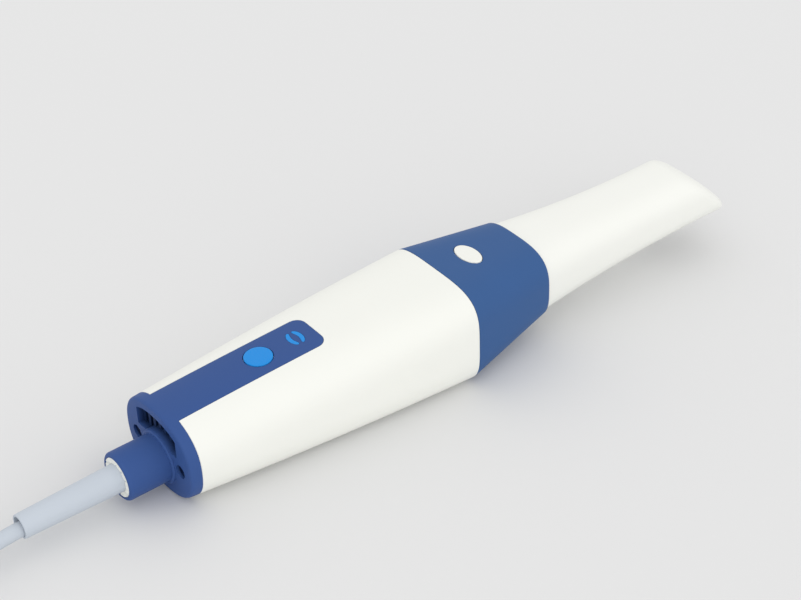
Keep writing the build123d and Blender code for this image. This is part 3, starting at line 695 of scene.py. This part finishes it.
for turn in range(whole_turns):
    for side in (-1, 1):
        begun = turn + (0.0 if side < 0 else 0.5)
        radius, height = wound(begun)
        route.append(Vector((hank_middle.x, hank_middle.y + side * radius, height)))
        for step in range(fold_steps):
            gone = hank_run / 2 + mean_fold * (step + 0.5) / fold_steps
            route.append(fold_point(side, step, *wound(begun + gone / turn_length)))
top_radius, top_height = wound(whole_turns)
plug_height = (plug_low.z + plug_high.z) / 2
plug_radius = (plug_low.y + plug_high.y) / 2 - hank_middle.y
route.append(Vector((hank_middle.x, hank_middle.y - top_radius, top_height)))
for step in range(fold_steps):
    share = step / (fold_steps - 1)
    radius = top_radius + turn_step * 0.15 * math.sin(math.pi * share) + (plug_radius - top_radius) * eased(share)
    height = top_height + (plug_height - top_height) * math.sin(math.pi / 2 * share)
    route.append(fold_point(-1, step, radius, height))
route.append(Vector((plug_low.x, hank_middle.y + plug_radius, plug_height)))

curve = bpy.data.curves.new("cable_sheath", "CURVE")
curve.dimensions = "3D"
line = curve.splines.new("NURBS")
line.points.add(len(route) - 1)
for point, place in zip(line.points, route):
    point.co = (*(place * 0.001), 1.0)
line.order_u = 3
line.use_endpoint_u = True
line.resolution_u = 8
curve.bevel_depth = cable_diameter / 2000
curve.bevel_resolution = 6
curve.materials.append(grey_rubber)
cable = bpy.data.objects.new("cable_sheath", curve)
bpy.context.scene.collection.objects.link(cable)
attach(cable, "handpiece")
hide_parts("cable_run", "cable_hank", "cable_tail")


# Cable tie and plug
# A black hook-and-loop strap round the hank, and a plug: a grey overmoulded grip, a folded steel shell and the
# black tongue that carries its contacts.
paint(moulded("black strap", (0.03, 0.03, 0.033), 0.8, drift=0.3, grain=1500.0, relief=0.0001), "cable_tie")
paint(grey_rubber, "plug_body")
paint(metal("bright plug steel", (0.62, 0.62, 0.64), 0.28), "plug_shell")
dark_plastic = moulded("black plastic", (0.03, 0.03, 0.035), 0.5, drift=0.1)
paint(dark_plastic, "plug_tongue")


# Front collar
# The blue ring between handle and tip, moulded in the cap's plastic, its lip glued in the handle's front.
# It tapers to a rounded front edge, and an oval hole in its sloping top takes the scan key.
collar_length = 31.5
nose_width = 31.4
nose_height = 25.2
nose_rise = 0.7
nose_squareness = 3.1
collar_edge = 0.7
collar_wall = 3.8
collar_front = handle_length + collar_length
scan_x = handle_length + 12.7
scan_width = 10.5
scan_length = 6.5


def collar_values(x):
    share = (x - handle_length) / collar_length
    ends = zip(handle_values(handle_length), (nose_width, nose_height, nose_rise, nose_squareness))
    return [rear + share * (front - rear) for rear, front in ends]


def collar_section(x, inset=0.0):
    width, height, rise, squareness = collar_values(x)
    return oval(x, width - 2 * inset, height - 2 * inset, rise, squareness)


def collar_top(x, y, lift=0.0):
    width, height, rise, squareness = collar_values(x)
    share = abs(y) / (width / 2 + lift)
    return rise + (height / 2 + lift) * (1 - share ** squareness) ** (1 / squareness)


collar_start = handle_length + seam / 2
collar_sides = spaced(collar_start + 2 * shell_edge, collar_front - 2 * collar_edge, 1.6)
collar = solid("front_collar_moulding", hollow(
    rounded(collar_section, collar_start, 1, shell_edge)[::-1]
    + [collar_section(x) for x in collar_sides]
    + rounded(collar_section, collar_front, -1, collar_edge)
    + [collar_section(x, collar_wall) for x in spaced(collar_front, collar_start, 6.0)]
))
slope = math.atan2(collar_top(handle_length, 0.0) - collar_top(collar_front, 0.0), collar_length)
scan_lean = Matrix.Translation((scan_x, 0.0, collar_top(scan_x, 0.0))) @ Matrix.Rotation(slope, 4, "Y")


def oval_plan(length, width):
    return lambda turn: Vector((math.cos(turn) * length / 2, math.sin(turn) * width / 2, 0.0))


hole = upright(0.0, oval_plan(scan_length + 2 * key_gap, scan_width + 2 * key_gap), -collar_wall * 2, collar_wall)
bmesh.ops.transform(hole, matrix=scan_lean, verts=hole.verts)
combine(collar, solid("scan_hole", hole), "DIFFERENCE")
collar_blue = moulded("blue satin collar plastic", (0.044, 0.114, 0.292), 0.48, drift=0.06, specular=0.12)
fit(collar, "handpiece", "blue_plastic", collar_blue, "front_collar", flat_belly=True)


# Scan button
# The white oval key that starts a scan, moulded as a cap that follows the collar's slope.
# It stands a little proud of the collar and is pressed onto a switch on the optics.
scan_depth = 3.6


def scan_point(offset, drop, height):
    flat = scan_lean @ Vector((offset.x, offset.y, 0.0))
    normal = scan_lean.to_3x3() @ Vector((0.0, 0.0, 1.0))
    if drop is None:
        return flat + normal * height
    lift = collar_top(flat.x, flat.y, key_proud) - drop
    return Vector((flat.x, flat.y, lift))


scan_button = solid("scan_button_cap", closed(key_sections(
    scan_point, oval_plan(scan_length, scan_width), -scan_depth, key_proud)))
fit(scan_button, "scan_key", "white_plastic", white_plastic, "scan_button")


# Nose and optics
# Behind the tip a black anodised nose with its rubber seal carries a glass window. The carrier with the lenses,
# two cameras and a projector, is screwed behind it inside the collar.
paint(metal("black anodised metal", (0.03, 0.03, 0.033), 0.4), "nose_barrel", "optics_housing", "camera_barrels",
      "projector_barrel")
paint(moulded("black seal rubber", (0.02, 0.02, 0.02), 0.7), "nose_seal")


def glass(name, tint):
    """Polished glass with a faint coating bloom in its gloss."""
    material = bpy.data.materials.new(name)
    material.use_nodes = True
    tree = material.node_tree
    shader = tree.nodes["Principled BSDF"]
    shader.inputs["Base Color"].default_value = list(tint) + [1.0]
    shader.inputs["Transmission Weight"].default_value = 1.0
    shader.inputs["IOR"].default_value = 1.5
    tree.links.new(between(tree, noise(tree, 300.0), 0.02, 0.06), shader.inputs["Roughness"])
    return material


paint(glass("coated glass", (0.85, 0.92, 0.97)), "nose_window", "camera_glasses", "projector_glass")
steel = metal("plain screw steel", (0.45, 0.45, 0.46), 0.35)
paint(steel, "optics_screws", "key_board_screws", "main_board_screws")
light_metal = metal("plain aluminium", (0.72, 0.73, 0.75), 0.35)
paint(light_metal, "heat_sink", "light_source")


# Scan tip
# The white tip that goes into the mouth: a thin moulded tube that slides over the nose, with a slanted end that
# backs the mirror and a window below it. It is pulled off to be cleaned.
tip_length = 80.9
tip_step = 0.7
tip_front = collar_front + tip_length
tip_stations = (collar_front, collar_front + tip_length / 2, tip_front)
tip_widths = (nose_width - 2 * tip_step, 24.0, 25.5)
tip_heights = (nose_height - 2 * tip_step, 19.3, 19.2)
tip_rises = (nose_rise, 0.05, 0.25)
tip_squareness = (nose_squareness, 3.1, 2.7)
tip_slant = 15.1
tip_lip = 2.8
tip_wall = 1.6
tip_edge = 4.0
tip_end_wall = 1.8
window_length = 16.0
window_width = 15.0
window_setback = 7.5
window_corner = 2.5
tip_start = collar_front + 2 * seam
tip_floor = tip_rises[2] - tip_heights[2] / 2


def slant_x(z, setback=0.0, lip=0.0):
    """Station of the slanted end, or of a plane behind it, at a height; a lip brings its lower edge forward."""
    return tip_front + lip - setback - (tip_slant + lip) * (z - tip_floor) / tip_heights[2]


def tip_point(x, turn, inset):
    values = [parabola(x, tip_stations, v) for v in (tip_widths, tip_heights, tip_rises, tip_squareness)]
    width, height, rise, squareness = values
    return oval(x, width - 2 * inset, height - 2 * inset, rise, squareness)(turn)


def tip_section(share, inset, setback=0.0, lip=0.0):
    """Section at a share of the way from the tip's root to its slanted end; it leans more and more to the slant."""
    def point(turn):
        x = tip_start + share * (slant_x(0.0, setback, lip) - tip_start)
        for _ in range(3):
            found = tip_point(x, turn, inset)
            x = tip_start + share * (slant_x(found.z, setback, lip) - tip_start)
        return tip_point(x, turn, inset)
    return point


def slant_edge(i, steps=8):
    """One section of the rounded edge between the tip's side and its slanted end."""
    angle = math.pi / 2 * i / steps
    return tip_section(1.0, tip_edge * (1 - math.cos(angle)), tip_edge * (1 - math.sin(angle)), tip_lip)


def shrunk(inset_share, setback, inset, lip=0.0):
    """Ring in the slanted plane, drawn in towards its middle."""
    rim = tip_section(1.0, inset, setback, lip)
    middle = Vector((slant_x(tip_rises[2], setback, lip), 0.0, tip_rises[2]))
    return lambda turn: rim(turn).lerp(middle, inset_share)


outer = [tip_section(share, 0.0, tip_edge, tip_lip) for share in spaced(0.0, 1.0, 1 / 44)[:-1]]
outer += [slant_edge(i) for i in range(9)]
outer += [shrunk(share, 0.0, tip_edge, tip_lip) for share in (0.3, 0.6, 0.9)]
inner = [tip_section(share, tip_wall, tip_end_wall) for share in spaced(0.0, 1.0, 1 / 22)]
inner += [shrunk(share, tip_end_wall, tip_wall) for share in (0.5, 0.9)]
mesh = bmesh.new()
outer_rings = skin(mesh, outer)
inner_rings = skin(mesh, inner)
bmesh.ops.contextual_create(mesh, geom=outer_rings[-1])
bmesh.ops.contextual_create(mesh, geom=inner_rings[-1])
bmesh.ops.bridge_loops(mesh, edges=outer_rings[0] + inner_rings[0])
tip = solid("scan_tip_moulding", mesh)
window_front = tip_front - window_setback
window = bmesh.new()
bmesh.ops.create_grid(window, x_segments=1, y_segments=1, size=0.5)
bmesh.ops.scale(window, verts=window.verts, vec=(window_length, window_width, 1.0))
bmesh.ops.bevel(window, geom=window.verts[:], offset=window_corner, offset_type="OFFSET", affect="VERTICES",
                segments=8, profile=0.5, material=-1)
sunk = bmesh.ops.extrude_face_region(window, geom=window.faces[:])["geom"]
bmesh.ops.translate(window, verts=[item for item in sunk if isinstance(item, bmesh.types.BMVert)],
                    vec=(0.0, 0.0, -tip_heights[0]))
bmesh.ops.translate(window, verts=window.verts, vec=(window_front - window_length / 2, 0.0, tip_rises[2]))
combine(tip, solid("tip_window_cut", window), "DIFFERENCE")
tip_plastic = moulded("white tip plastic", (0.885, 0.89, 0.845), 0.45)
fit(tip, "tip", "tip_plastic", tip_plastic, "scan_tip")


# Tip mirror
# A small silvered glass plate, bonded behind the slanted end to fold the view down through the window.
paint(metal("silvered mirror", (0.90, 0.91, 0.92), 0.1, scratch=200.0), "tip_mirror")


# Boards and blower
# Inside the handle: green circuit boards with black chips and switches, pale sockets and a flat ribbon, and a small
# black blower with a bladed rotor behind the vent.
board = moulded("coated board", (0.02, 0.12, 0.05), 0.35, drift=0.4)
paint(board, "main_board", "key_board", "scan_board", "sensor_board")
paint(dark_plastic, "processor", "memory_chips", "mode_switch", "scan_switch", "inner_lead", "fan_housing",
      "fan_rotor")
paint(moulded("pale socket plastic", (0.72, 0.70, 0.62), 0.5), "ribbon_socket", "lead_connector", "ribbon_cable")


# Studio
# A plain pale floor under soft, even light from all round, and the camera where the picture was taken.
floor_colour = (0.77, 0.77, 0.77)
floor_drop = 0.0002
mesh = bmesh.new()
bmesh.ops.create_grid(mesh, x_segments=1, y_segments=1, size=6.0)
bmesh.ops.translate(mesh, verts=mesh.verts, vec=(0.0, 0.0, -floor_drop))
floor = solid("studio_floor", mesh)
floor_paper = bpy.data.materials.new("floor paper")
floor_paper.use_nodes = True
floor_shader = floor_paper.node_tree.nodes["Principled BSDF"]
floor_shader.inputs["Base Color"].default_value = (*floor_colour, 1.0)
floor_shader.inputs["Roughness"].default_value = 0.9
floor_shader.inputs["Specular IOR Level"].default_value = 0.0
floor.data.materials.append(floor_paper)

world = bpy.data.worlds.new("studio")
world.use_nodes = True
world.node_tree.nodes["Background"].inputs["Color"].default_value = (1.0, 1.0, 1.0, 1.0)
world.node_tree.nodes["Background"].inputs["Strength"].default_value = 0.94
bpy.context.scene.world = world

key_lamp = bpy.data.lights.new("key_lamp", "SUN")
key_lamp.energy = 0.7
key_lamp.angle = math.radians(80.0)
key_light = bpy.data.objects.new("key_lamp", key_lamp)
key_light.rotation_euler = Vector((0.45, 0.85, -0.42)).to_track_quat("-Z", "Y").to_euler()
bpy.context.scene.collection.objects.link(key_light)

camera_place = Vector((-191.36, -372.18, 362.02))
camera_aim = Vector((84.69, 0.0, 10.12))
camera_roll = math.radians(-2.187)
camera = bpy.data.objects.new("camera", bpy.data.cameras.new("camera"))
camera.data.lens = 89.57
camera.data.sensor_width = 36.0
forward = (camera_aim - camera_place).normalized()
level_right = forward.cross(Vector((0.0, 0.0, 1.0))).normalized()
level_up = level_right.cross(forward)
right = level_right * math.cos(camera_roll) + level_up * math.sin(camera_roll)
up = right.cross(forward)
turned = Matrix((right, up, -forward)).transposed().to_4x4()
lean_only = laid.to_3x3().normalized().to_4x4()
camera.matrix_world = Matrix.Translation(laid @ camera_place) @ lean_only @ turned
camera.data.clip_start = 0.01
camera.data.clip_end = 50.0
bpy.context.scene.collection.objects.link(camera)
bpy.context.scene.camera = camera
bpy.context.scene.view_settings.view_transform = "Standard"
